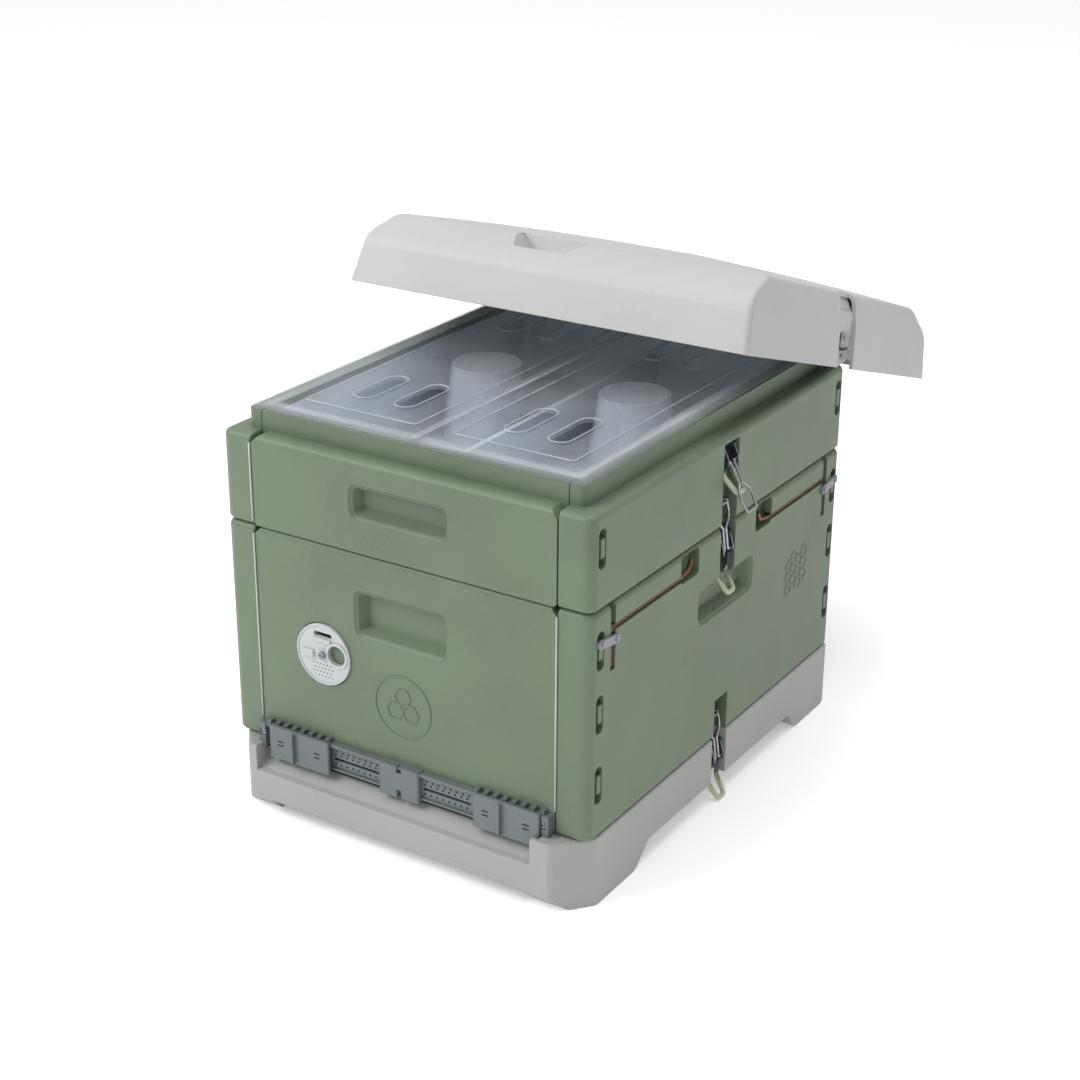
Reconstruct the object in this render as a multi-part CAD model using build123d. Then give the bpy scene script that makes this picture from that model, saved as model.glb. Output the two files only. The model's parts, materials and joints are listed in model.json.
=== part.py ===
from build123d import *
import math
import os

# An insulated Langstroth beehive: base with feet and landing shelf, brood box of ten frames,
# shallow top box with a feeder, clear inner cover, and a roof lying askew over the back.
# Frame: origin on the ground at the middle of the boxes, +Z up, the entrance facing -Y. Millimetres.

# ---- boxes and base ------------------------------------------------------------------------
BOX_W = 440.0            # outer width of every box, X
BOX_L = 540.0            # outer length of every box, Y
SIDE_T = 38.0            # side panels, whose ends are the corner posts
END_T = 36.0             # front and back panels
BASE_H = 77.0            # ground to the first joint
BROOD_H = 244.0          # brood box, joint to joint
TOP_H = 98.0             # shallow box up to its shoulder
RISER_H = 20.0           # inner lip that stands above each shoulder
RISER_IN = 20.0          # how far the lip stands in from the outer face
CORNER_R = 12.0          # upright outer corners
SHOULDER_R = 7.0         # rounding of the top outer edges
FOOT_R = 5.0             # rounding of the bottom outer edges
PANEL_GAP = 0.5          # half of the line between two panels
JOINT_GAP = 0.9          # shadow line between two boxes
NEST_GAP = 0.5           # lip to the rabbet around it
SKIN = 4.0               # moulded wall around the air space inside a panel

HALF_W = BOX_W / 2
HALF_L = BOX_L / 2
IN_W = HALF_W - SIDE_T
IN_L = HALF_L - END_T
SEAM_1 = BASE_H
SEAM_2 = SEAM_1 + BROOD_H
SHOULDER = SEAM_2 + TOP_H
RIM = SHOULDER + RISER_H

# ---- base ----------------------------------------------------------------------------------
SKIRT_Z = 24.0           # lower edge between the feet
SHELF_Z = 61.5           # landing shelf, where it meets the entrance
SHELF_LEFT = -177.5      # inner faces of the raised front corners
SHELF_RIGHT = 166.0
SHELF_POCKET = 172.5     # behind the right corner, room for the end of the right gate
SHELF_DROP = 13.0        # fall of the shelf to its front edge
NOSE = 21.0              # how far the shelf stands out in front
NOSE_HALF = 188.0
NOSE_Z = 17.0            # lower edge of the front
CORNER_CUT = 18.0        # where the slanted front corners meet the sides
FOOT_IN = 60.0
SCREEN_T = 3.0
SCREEN_LEDGE = 8.0

# ---- hand-holds ----------------------------------------------------------------------------
HOLD_DEPTH = 14.0
HOLD_TAPER = 28.0        # slope of the hand-hold's walls, degrees
HOLD_R = 8.0             # corners of its mouth
BROOD_HOLD = (232.0, 279.0)
TOP_HOLD = (359.0, 392.0)
SIDE_HOLD = (228.0, 265.0)

# ---- entrance ------------------------------------------------------------------------------
RAIL_LEFT = -182.0
RAIL_RIGHT = 180.0
RAIL_Z0 = 69.5
RAIL_Z1 = 100.0
GATE_W = 78.0
GATE_Z0 = 64.5
GATE_Z1 = 102.0
GATE_LEFT_X = -166.0
GATE_RIGHT_X = 93.0
GATE_SLOT = 24.0         # paired slots either side of a gate's rib
VENT_ZONES = (-58.0, 56.0)   # middles of the two vented lengths of the rail
VENT_HALF = 30.0
TOOTH_STEP = 11.0
DISC_X = -97.0
DISC_Z = 198.5
DISC_R = 34.0
DISC_T = 4.0
DISC_SINK = 2.6          # depth of the round seat behind the disc
DISC_SLOT = 22.0         # slot above the disc's middle
DISC_HOLE = 17.5         # round way through beside the middle
EMBLEM_X = 1.0
EMBLEM_Z = 165.0
EMBLEM_R = 35.0

# ---- fold-out frame perch arms ---------------------------------------------------------------
ARM_Y = 230.0            # hinge of each arm, from the middle of the side
ARM_TIP_Y = 72.0
ARM_Z = 295.0
ARM_R = 2.3
ARM_X = HALF_W - 3.6
ARM_GROOVE = 3.3         # half height of the groove
LOCK_Y = HALF_L - 17.5
CLIP_TILT = 8.0

# ---- toggle latches, local u outwards, v along the wall, w above the joint line ----------------
RECESS = 14.0            # depth of the recess that holds a latch
RECESS_FLOOR = HALF_W - RECESS
PIVOT_U = 213.0
PIVOT_W = -16.0
PIN_R = 2.0
CRANK_U = 5.0            # from the lever's pivot to the bail's
CRANK_W = -13.5
BAR_U = 211.0            # top bar of a closed bail
BAR_W = 24.0
WIRE_R = 1.5
CATCH_SLOPE = 0.35       # rise of a catch's tongue, less steep than the opening bar's path
BAIL_RISE = BAR_W - PIVOT_W - CRANK_W
BAIL_RUN = BAR_U - PIVOT_U - CRANK_U
BAIL_LEN = math.hypot(BAIL_RUN, BAIL_RISE)
BAIL_LEAN = math.degrees(math.atan2(BAIL_RUN, BAIL_RISE))
REACH = 58.0             # lever pivot to the end of its grip
TOP_REACH = 46.0
TOP_LEVER_TURN = 8.0     # how far the top lever hangs away from the wall
OPEN_BAIL = 151.5        # lean of the open bail, from upright

# ---- frames --------------------------------------------------------------------------------
FRAME_COUNT = 10
FRAME_PITCH = 35.0
REST_Z = 318.0
TOP_BAR = (27.0, 483.0, 19.0)
FRAME_DEEP = 232.0
END_BAR_T = 9.0
FRAME_LEN = 448.0

# ---- inner cover and feeder --------------------------------------------------------------------
COVER_T = 2.5
SLOT_ROWS = (-135.0, 135.0)
SLOT_COLUMNS = (-117.5, -66.5, 66.5, 117.5)
SLOT_LEN = 80.0
SLOT_W = 27.0
CUP_X = 93.0
CUP_Y = 22.0

# ---- roof ----------------------------------------------------------------------------------
ROOF_W = 475.0
ROOF_L = 558.0
ROOF_DRAFT = 5.0         # how far the walls lean in
ROOF_WALL = 42.0
ROOF_SHOULDER = 81.0
ROOF_SIDE_IN = 18.0      # shoulder line, in from the long sides
ROOF_END_IN = 56.0       # shoulder line, in from the ends
ROOF_CROWN = 95.0
ROOF_SKIN = 4.0
ROOF_SKIRT = 10.0        # thin skirt below the lining, which closes outside the shoulder
ROOF_CEILING = ROOF_SKIRT + RISER_H + 7
LINER_W = 436.0          # hollow in the foam lining
LINER_L = 516.0
GRIP_Z = 67.0            # floor of the finger grip in the front slope
GRIP_IN = (24.0, 68.0)   # from the front edge to the grip's two ends
GRIP_HALF = 39.0
GRIP_FLOOR = 29.0        # half width of the grip's floor, whose ends slope up
GRIP_X = -28.0
ROOF_CHANNEL = 9.0       # depth of the channel for the latch in each long side
CHANNEL_HALF = 24.0
ROOF_PLACE = Location((-11.5, 243.5, 422.0), (-18.5, 0, 2.3))


def block(x0, x1, y0, y1, z0, z1):
    """A box between two corners."""
    middle = ((x0 + x1) / 2, (y0 + y1) / 2, (z0 + z1) / 2)
    return Pos(*middle) * Box(x1 - x0, y1 - y0, z1 - z0)


def rod(start, end, radius):
    """A round bar from one point to another."""
    direction = Vector(*end) - Vector(*start)
    return Solid.make_cylinder(radius, direction.length, Plane(Vector(*start), z_dir=direction))


def prism_yz(points, x0, x1):
    """An outline in Y and Z, drawn out along X."""
    wire = Polyline([(x0, y, z) for y, z in points], close=True)
    return extrude(make_face(wire), amount=x1 - x0, dir=(1, 0, 0))


def prism_xz(points, y0, y1):
    """An outline in X and Z, drawn out along Y."""
    wire = Polyline([(x, y0, z) for x, z in points], close=True)
    return extrude(make_face(wire), amount=y1 - y0, dir=(0, 1, 0))


def mirrored(shape):
    """The same shape on the other side of the hive."""
    return mirror(shape, about=Plane.YZ)


def group(shapes):
    """Separate solids kept together in one node."""
    solids = []
    for shape in shapes:
        solids += list(shape.solids())
    return Compound(children=solids)


PARTS = {}


def keep(name, shape):
    """Put a shape down under its node name."""
    solids = shape.solids()
    PARTS[name] = solids[0] if len(solids) == 1 else Compound(children=list(solids))


# ============================================================================================
# Base: frame of rails with four feet, a landing shelf, and a screen floor
# ============================================================================================
def base_outline(z0, z1):
    """Plan of the base with its shelf and cut corners, as a block between two heights."""
    points = [
        (-HALF_W, HALF_L), (HALF_W, HALF_L), (HALF_W, -HALF_L + CORNER_CUT), (NOSE_HALF, -HALF_L - NOSE),
        (-NOSE_HALF, -HALF_L - NOSE), (-HALF_W, -HALF_L + CORNER_CUT),
    ]
    face = make_face(Polyline([(x, y, z0) for x, y in points], close=True))
    solid = extrude(face, amount=z1 - z0, dir=(0, 0, 1))
    corners = solid.edges().filter_by(Axis.Z)
    return fillet(corners, 8.0)


def base_board():
    front = -HALF_L - NOSE
    body = base_outline(NOSE_Z, SEAM_1)
    top_edges = body.faces().sort_by(Axis.Z)[-1].edges()
    body = fillet(top_edges.filter_by(lambda e: e.center().Y < -HALF_L + 2), 3.0)
    body -= block(-HALF_W - 1, HALF_W + 1, -HALF_L + 40, HALF_L + 1, 0, SKIRT_Z)
    body -= block(-IN_W, IN_W, -IN_L, IN_L, 0, SEAM_1 + 1)
    body += block(-IN_W, IN_W, -IN_L, IN_L, SHELF_Z - 14, SHELF_Z - SCREEN_T) - block(
        -IN_W + SCREEN_LEDGE, IN_W - SCREEN_LEDGE, -IN_L + SCREEN_LEDGE, IN_L - SCREEN_LEDGE, 0, SEAM_1)
    shelf_cut = prism_yz(
        [(front - 1, SHELF_Z - SHELF_DROP), (front + 6, SHELF_Z - SHELF_DROP + 2), (-HALF_L + 2, SHELF_Z),
         (-IN_L, SHELF_Z), (-IN_L, SEAM_1 + 1), (front - 1, SEAM_1 + 1)], SHELF_LEFT, SHELF_RIGHT)
    body -= shelf_cut
    body -= block(SHELF_RIGHT - 1, SHELF_POCKET, -HALF_L - 14.5, -IN_L, SHELF_Z, SEAM_1 + 1)
    body -= block(-NOSE_HALF + 30, NOSE_HALF - 30, front + 5, -HALF_L + 6, 0, SHELF_Z - SHELF_DROP - 6)
    lip = block(-HALF_W + RISER_IN, HALF_W - RISER_IN, -HALF_L + RISER_IN, HALF_L - RISER_IN,
                SEAM_1, SEAM_1 + RISER_H)
    lip -= block(-IN_W, IN_W, -IN_L, IN_L, SEAM_1 - 1, SEAM_1 + RISER_H + 1)
    lip -= block(-IN_W, IN_W, -HALF_L, 0, SEAM_1 - 1, SEAM_1 + RISER_H + 1)
    body += lip
    top = SKIRT_Z + 10
    front_foot = [(-274, 0), (-180, 0), (-172, 4), (-148, SKIRT_Z),
                  (-148, top), (front, top), (front, NOSE_Z)]
    back_foot = [(194, 0), (258, 0), (267, 4), (270, 12),
                 (270, top), (170, top), (170, SKIRT_Z), (186, 4)]
    plan = base_outline(0, SEAM_1)
    for outline in (front_foot, back_foot):
        for side in (-1, 1):
            x0, x1 = sorted((side * (HALF_W - FOOT_IN), side * HALF_W))
            foot = prism_yz(outline, x0, x1) & plan
            body += foot - block(x0 + 16, x1 - 16, -HALF_L + 10, HALF_L - 16, 8, 60)
    for side in (-1, 1):
        x0, x1 = sorted((side * RECESS_FLOOR, side * (HALF_W + 1)))
        body -= block(x0, x1, -16, 16, NOSE_Z - 1, SEAM_1 + 1)
    return body


def floor_screen():
    """Ventilated floor sheet resting on the ledge inside the base."""
    sheet = block(-IN_W + 1, IN_W - 1, -IN_L + 1, IN_L - 1, SHELF_Z - SCREEN_T, SHELF_Z)
    slots = Sketch() + [place * SlotOverall(70, 10) for place in GridLocations(82, 24, 4, 18)]
    return sheet - Pos(0, 0, SHELF_Z - SCREEN_T - 1) * extrude(slots, amount=SCREEN_T + 2)


# ============================================================================================
# Box panels
# ============================================================================================
def side_panel(z0, height):
    """Right-hand panel of a box, its ends wrapping round as corner posts."""
    z1 = z0 + height
    wall = block(IN_W + PANEL_GAP, HALF_W, -HALF_L, HALF_L, z0 + JOINT_GAP, z1)
    wall = fillet(wall.edges().filter_by(Axis.Z).sort_by(Axis.X)[-2:], CORNER_R)
    for level, radius in ((z1, SHOULDER_R), (z0 + JOINT_GAP, FOOT_R)):
        rim = [e for e in wall.edges() if abs(e.center().Z - level) < 0.1 and e.center().X > IN_W + 2]
        wall = fillet(rim, radius)
    posts = wall.edges().filter_by(Axis.Z).filter_by(lambda e: e.center().X < IN_W + 1)
    wall = chamfer(posts, 1.2)
    wall -= block(0, HALF_W - RISER_IN + NEST_GAP, -HALF_L + RISER_IN - NEST_GAP,
                  HALF_L - RISER_IN + NEST_GAP, z0 - 1, z0 + RISER_H)
    riser = block(IN_W + PANEL_GAP, HALF_W - RISER_IN, -HALF_L + RISER_IN, HALF_L - RISER_IN,
                  z1 - 1, z1 + RISER_H)
    riser = fillet(riser.edges().filter_by(Axis.Z).sort_by(Axis.X)[-2:], 8.0)
    wall += riser
    low = z0 + RISER_H + SKIN + 1
    wall -= block(IN_W + SKIN, HALF_W - 18, -HALF_L + 20, HALF_L - 20, low, z1 - SKIN - 1)
    return wall


def end_panel(z0, height, rabbet):
    """Front panel of a box, standing between the corner posts."""
    z1 = z0 + height
    half = IN_W - PANEL_GAP
    foot = z0 + JOINT_GAP
    outline = [(-half + 3, foot), (half - 3, foot), (half, foot + 3), (half, z1 - 8),
               (half - 8, z1), (-half + 8, z1), (-half, z1 - 8), (-half, foot + 3)]
    wall = prism_xz(outline, -HALF_L, -IN_L) + block(-half, half, -HALF_L + RISER_IN, -IN_L, z0 + 4, z1)
    face = wall.faces().sort_by(Axis.Y)[0]
    wall = fillet(face.edges().sort_by(Axis.Z)[-1:], SHOULDER_R)
    low = z0 + SKIN + 1
    if rabbet:
        wall -= block(-half - 1, half + 1, -HALF_L + RISER_IN - NEST_GAP, 0, z0 - 1, z0 + RISER_H)
        low += RISER_H
    wall += block(-half, half, -HALF_L + RISER_IN, -IN_L, z1 - 1, z1 + RISER_H)
    wall -= block(-half + SKIN, half - SKIN, -HALF_L + 18, -IN_L - SKIN, low, z1 - SKIN - 1)
    return wall


def hand_hold(low, high, width):
    """Pocket with sloping walls and rounded corners, opening towards -Y at the front face."""
    tall = high - low
    mouth = Plane((0, -HALF_L - 0.01, (low + high) / 2), x_dir=(1, 0, 0), z_dir=(0, 1, 0))
    pocket = extrude(mouth * RectangleRounded(width, tall, HOLD_R), amount=HOLD_DEPTH, taper=HOLD_TAPER)
    lip = Plane((0, -HALF_L - 0.02, (low + high) / 2), x_dir=(1, 0, 0), z_dir=(0, 1, 0))
    soft = extrude(lip * RectangleRounded(width + 5, tall + 5, HOLD_R + 2.5), amount=2.5, taper=45)
    return pocket + soft


def side_hold():
    """The same pocket in a side panel."""
    return Rot(0, 0, 90) * Pos(0, HALF_L - HALF_W, 0) * hand_hold(*SIDE_HOLD, 116.0)


def latch_recess(z0, z1, half):
    return block(RECESS_FLOOR, HALF_W + 5, -half, half, z0, z1)


def lock_slot(y, z):
    """Upright slot with a curved cam tab, where a side panel locks onto the end panel."""
    slot = block(HALF_W - 9, HALF_W + 1, y - 6.5, y + 6.5, z - 20, z + 20)
    slot = chamfer(slot.edges().filter_by(Axis.X), 3.5)
    tab = Pos(HALF_W - 8, y + 1, z) * Cylinder(8.5, 19, align=(Align.CENTER, Align.CENTER, Align.CENTER))
    return slot - (tab & block(HALF_W - 20, HALF_W - 0.5, y - 2, y + 9, z - 10, z + 10))


def arm_pocket():
    """Groove, hinge slot and finger pocket of one fold-out arm at the front of a side panel."""
    groove = block(HALF_W - 9, HALF_W + 1, -ARM_Y - 4.5, -98, ARM_Z - ARM_GROOVE, ARM_Z + ARM_GROOVE)
    hinge = block(HALF_W - 9, HALF_W + 1, -ARM_Y - 4.5, -ARM_Y + 4.5, 251, SEAM_2 + 1)
    finger = block(HALF_W - 12, HALF_W + 1, -99, -62, 289, SEAM_2 - 3)
    return groove + hinge + chamfer(finger.edges().filter_by(Axis.X), 3.0)


def comb_cells(centres, radius):
    """Low raised hexagons on the right face."""
    cell = extrude(RegularPolygon(radius, 6) - RegularPolygon(radius - 2.0, 6), amount=1.0)
    return [Pos(HALF_W - 0.4, y, z) * Rot(0, 90, 0) * cell for y, z in centres]


def brood_side():
    wall = side_panel(SEAM_1, BROOD_H)
    wall -= side_hold()
    wall -= latch_recess(SIDE_HOLD[0] + 12, SEAM_2 + 1, 16)
    wall -= latch_recess(SEAM_1 - 1, SEAM_1 + 46, 14)
    for end in (-1, 1):
        for z in (136.0, 212.5, 280.0):
            wall -= lock_slot(end * LOCK_Y, z)
    wall -= arm_pocket()
    wall -= mirror(arm_pocket(), about=Plane.XZ)
    return wall


def brood_side_with_cells():
    """Right panel, with a faint honeycomb towards the back."""
    wall = brood_side()
    pitch = 14.0
    centres = []
    for column in range(4):
        for row in range(3):
            centres.append((150 + column * pitch * 0.87, 190 + row * pitch + column % 2 * pitch / 2))
    for cell in comb_cells(centres, pitch / math.sqrt(3)):
        wall += cell
    return wall


def emblem():
    """Plain ring around three cells of comb, raised on the front."""
    place = Pos(EMBLEM_X, -HALF_L + 0.4, EMBLEM_Z) * Rot(90, 0, 0)
    shapes = [Circle(EMBLEM_R) - Circle(EMBLEM_R - 1.8)]
    cell = 11.0
    for turn in (90, 210, 330):
        shapes.append(Rot(0, 0, turn) * Pos(cell, 0) * Rot(0, 0, 30) * (
            RegularPolygon(cell, 6) - RegularPolygon(cell - 1.8, 6)))
    return [place * extrude(shape, amount=1.2) for shape in shapes]


def brood_front():
    wall = end_panel(SEAM_1, BROOD_H, rabbet=False)
    wall -= hand_hold(*BROOD_HOLD, 110.0)
    for middle in VENT_ZONES:
        wall -= block(middle - VENT_HALF - 2, middle + VENT_HALF + 2, -HALF_L - 1, -IN_L + 1, 0, RAIL_Z1 - 3)
    seat_y = -HALF_L + DISC_SINK
    wall -= rod((DISC_X, -HALF_L - 1, DISC_Z), (DISC_X, seat_y, DISC_Z), DISC_R + 1.0)
    way = DISC_Z + DISC_SLOT - 2.5
    wall -= rod((DISC_X, -HALF_L - 1, way), (DISC_X, -IN_L + 1, way), 9.0)
    wall += rod((DISC_X, -HALF_L + 18.5, way), (DISC_X, -IN_L - 2, way), 12.0) - rod(
        (DISC_X, -HALF_L + 17, way), (DISC_X, -IN_L + 1, way), 9.0)
    wall -= rod((DISC_X, -HALF_L - 1, DISC_Z), (DISC_X, -HALF_L + 12, DISC_Z), 2.0)
    for x in (RAIL_LEFT + 5, RAIL_RIGHT - 7):
        wall -= rod((x, -HALF_L - 1, 89), (x, -HALF_L + 10, 89), 1.8)
    for shape in emblem():
        wall += shape
    return rest_cut(wall)


def rest_cut(wall):
    """Ledge along the inside of an end panel, where the frames' top bars rest."""
    return wall - block(-IN_W, IN_W, -IN_L - 9, -IN_L + 1, REST_Z - 1, SEAM_2 + RISER_H + 1)


def brood_back():
    wall = end_panel(SEAM_1, BROOD_H, rabbet=True)
    wall -= hand_hold(*BROOD_HOLD, 110.0)
    return mirror(rest_cut(wall), about=Plane.XZ)


def frame_rests():
    """Two steel angle strips that carry the frames."""
    flat = block(-IN_W + 2, IN_W - 2, -IN_L - 9, -IN_L, REST_Z - 1, REST_Z)
    up = block(-IN_W + 2, IN_W - 2, -IN_L - 9, -IN_L - 8, REST_Z, REST_Z + 18)
    strip = flat + up
    return group([strip, mirror(strip, about=Plane.XZ)])


def top_side():
    wall = side_panel(SEAM_2, TOP_H)
    wall -= latch_recess(SEAM_2 - 1, SHOULDER - 7.5, 16)
    for end in (-1, 1):
        wall -= lock_slot(end * LOCK_Y, 384.0)
    return wall


def top_end():
    wall = end_panel(SEAM_2, TOP_H, rabbet=True)
    return wall - hand_hold(*TOP_HOLD, 115.0)


# ============================================================================================
# Entrance rail, gates and disc
# ============================================================================================
def entrance_rail():
    face = -HALF_L
    rail = block(RAIL_LEFT, RAIL_RIGHT, face - 3, face, RAIL_Z0, RAIL_Z1)
    rail += block(RAIL_LEFT, RAIL_RIGHT, face - 8, face - 2, RAIL_Z1 - 3, RAIL_Z1)
    rail += block(RAIL_LEFT, RAIL_RIGHT, face - 6, face - 2, RAIL_Z0, RAIL_Z0 + 2)
    rail += block(RAIL_LEFT, RAIL_LEFT + 8, face - 9, face, RAIL_Z0, RAIL_Z1)
    rail += block(RAIL_RIGHT - 8, RAIL_RIGHT, face - 9, face, RAIL_Z0 + 4, RAIL_Z1)
    middle_block = block(-24, 25, face - 10, face, RAIL_Z0 - 4, RAIL_Z1 + 1)
    middle_block = chamfer(middle_block.edges().filter_by(Axis.Z).sort_by(Axis.Y)[:2], 1.5)
    for z0, z1 in ((RAIL_Z1 - 6, RAIL_Z1 + 2), (RAIL_Z0 - 5, RAIL_Z0 + 5)):
        middle_block -= block(-2, 4, face - 11, face - 4, z0, z1)
    rail += middle_block
    for middle in VENT_ZONES:
        for row, z in enumerate((94.5, 90.5, 86.5)):
            for step in range(8):
                x = middle - 27 + step * 7.4 + row % 2 * 2
                rail -= rod((x, face - 4, z), (x, face + 1, z), 1.2)
        for step in range(8):
            x = middle - 27 + step * 7.4
            rail -= rod((x, face - 4, 76), (x, face + 1, 76), 1.2)
        rail -= block(middle - 29, middle + 29, face - 4, face + 1, 80, 83)
    for start in (GATE_LEFT_X - 6, GATE_RIGHT_X - 1):
        for tooth in range(8):
            x = start + tooth * TOOTH_STEP
            rail += block(x, x + 4.5, face - 7, face, RAIL_Z1 - 1, RAIL_Z1 + 4)
    for x0, x1 in ((RAIL_LEFT - 1, SHELF_LEFT + 0.5), (SHELF_POCKET - 0.5, RAIL_RIGHT + 1)):
        rail -= block(x0, x1, face - 20, face + 1, 0, SEAM_1 + 0.3)
    for x in (RAIL_LEFT + 5, RAIL_RIGHT - 7):
        rail -= rod((x, face - 13, 89), (x, face + 1, 89), 1.9)
        rail -= block(x - 4, x + 4, face - 13, face - 6, 85, 93)
    return rail


def entrance_gate(x0):
    """Sliding gate, hooked over the rail's upper lip and behind its lower one."""
    face = -HALF_L
    x1 = x0 + GATE_W
    plate = block(x0, x1, face - 12, face - 8.4, GATE_Z0, GATE_Z1)
    plate = chamfer(plate.edges().filter_by(Axis.Z).sort_by(Axis.Y)[:2], 1.0)
    middle = (x0 + x1) / 2
    rib_x = middle - 6
    rib = Pos(rib_x, face - 5.0, (GATE_Z0 + GATE_Z1) / 2) * Rot(0, 90, 0) * Cylinder(20, 2.4)
    rib = rib & block(x0, x1, face - 16.5, face - 10, GATE_Z0 + 2, GATE_Z1 - 2)
    plate += rib
    plate += block(x0 + 2, x1 - 2, face - 8.5, face - 6.4, RAIL_Z0 + 2.4, RAIL_Z0 + 8)
    for side in (-1, 1):
        for z in (81.0, 85.5):
            place = Pos(middle + side * GATE_SLOT, face - 12, z) * Rot(90, 0, 0)
            plate -= place * extrude(SlotOverall(8, 1.8), amount=5, both=True)
    return plate


def entrance_disc():
    """Round turning disc with a slot, a round way through with a collar, air holes and a finger tab."""
    back = -HALF_L + DISC_SINK - 0.3
    front = back - DISC_T
    disc = rod((DISC_X, back, DISC_Z), (DISC_X, front - 0.8, DISC_Z), DISC_R)
    disc = fillet(disc.edges().sort_by(Axis.Y)[0], 0.7)
    disc -= rod((DISC_X, front, DISC_Z), (DISC_X, front - 2, DISC_Z), DISC_R - 2.2)

    def placed(x, z, sketch, depth):
        return Pos(DISC_X + x, front + 0.5, DISC_Z + z) * Rot(90, 0, 0) * extrude(sketch, amount=depth)

    def through(x, z, sketch):
        return Pos(DISC_X + x, front, DISC_Z + z) * Rot(90, 0, 0) * extrude(sketch, amount=12, both=True)

    disc += placed(DISC_HOLE, 3, Circle(14.0), 1.9)
    disc += placed(0, 0, Circle(6.5), 1.9)
    disc += placed(-1, DISC_SLOT - 6, RectangleRounded(22, 4.5, 1.0), 2.4)
    tab = placed(-19, -2, RectangleRounded(15, 8, 2.0), 3.4)
    disc += chamfer(tab.faces().sort_by(Axis.Y)[0].edges(), 0.8)
    disc &= rod((DISC_X, back + 1, DISC_Z), (DISC_X, front - 9, DISC_Z), DISC_R)
    disc -= through(0, DISC_SLOT, SlotOverall(23, 5.2))
    disc -= through(DISC_HOLE, 3, Circle(11.0))
    for row in range(4):
        for column in range(6):
            x = -13 + column * 4.4 + row % 2 * 2.2
            z = -11.5 - row * 4.4
            if math.hypot(x, z) < DISC_R - 5 and math.hypot(x - DISC_HOLE, z - 3) > 16:
                disc -= through(x, z, Circle(0.8))
    disc -= rod((DISC_X, -HALF_L + 4, DISC_Z), (DISC_X, -HALF_L - 20, DISC_Z), 2.05)
    return disc


def screw(x, z, tip_y, head_y, radius, head_radius):
    """Pan-head screw driven in along +Y."""
    body = rod((x, head_y, z), (x, tip_y, z), radius)
    head = rod((x, head_y, z), (x, head_y - 2.2, z), head_radius)
    slot = block(x - head_radius, x + head_radius, head_y - 3, head_y - 1.3, z - 0.5, z + 0.5)
    return body + head - slot


# ============================================================================================
# Fold-out arms and their clips
# ============================================================================================
def frame_arm():
    """Steel arm at the front of the right side: upright hinge leg, long rod and bent finger end."""
    points = [
        (ARM_X, -ARM_Y, 254), (ARM_X, -ARM_Y, ARM_Z), (ARM_X, -ARM_TIP_Y - 22, ARM_Z),
        (ARM_X, -ARM_TIP_Y - 6, ARM_Z + 3), (ARM_X, -ARM_TIP_Y, ARM_Z + 13),
    ]
    path = FilletPolyline(*points, radius=5.0)
    section = Plane(points[0], z_dir=(0, 0, 1)) * Circle(ARM_R)
    return sweep(section, path=path)


def arm_clip():
    """Small strap across a hinge slot that holds the arm's upright leg in."""
    strap = fillet(Box(3.0, 38, 9).edges().filter_by(Axis.X), 3.5)
    for y in (-13.0, 13.0):
        strap += Pos(1.0, y, 0) * Rot(0, 90, 0) * Cylinder(3.2, 3.4)
    return Pos(HALF_W + 1.6, -ARM_Y - 10, 285.5) * Rot(-CLIP_TILT, 0, 0) * strap


# ============================================================================================
# Latches (right-hand side, joint line at z)
# ============================================================================================
def latch_plate(joint, low, high):
    """Back plate screwed into the recess, with two ears for the lever's pins."""
    plate = block(RECESS_FLOOR, RECESS_FLOOR + 2, -14, 14, joint + low, joint + high)
    plate = fillet(plate.edges().filter_by(Axis.X), 4.0)
    for side in (-1, 1):
        y0, y1 = sorted((side * 12.0, side * 14.0))
        ear = prism_xz([(RECESS_FLOOR, joint - 30), (PIVOT_U + 3, joint - 23),
                        (PIVOT_U + 4.5, joint - 19), (PIVOT_U + 3.5, joint - 12.5),
                        (PIVOT_U, joint - 11), (RECESS_FLOOR, joint - 13)], y0, y1)
        plate += ear
    plate -= rod((PIVOT_U, -20, joint + PIVOT_W), (PIVOT_U, 20, joint + PIVOT_W), PIN_R)
    for z in (joint - 13, joint - 30, joint - 40):
        plate += Pos(RECESS_FLOOR + 2, 0, z) * Rot(0, 90, 0) * Cone(3.2, 2.2, 2.4)
    return plate


def latch_pins(joint):
    """Two headed rivets, one through each ear and lever strap."""
    pins = []
    for side in (-1, 1):
        inner, under, outer = ((PIVOT_U, side * y, joint + PIVOT_W) for y in (8.6, 14.1, 15.4))
        pins.append(rod(inner, outer, PIN_R) + rod(under, outer, 3.2))
    return group(pins)


def turned(shape, joint, angle):
    """A latch piece turned outwards about the lever's pivot."""
    pivot = Pos(PIVOT_U, 0, joint + PIVOT_W)
    return pivot * Rot(0, -angle, 0) * pivot.inverse() * shape


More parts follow.
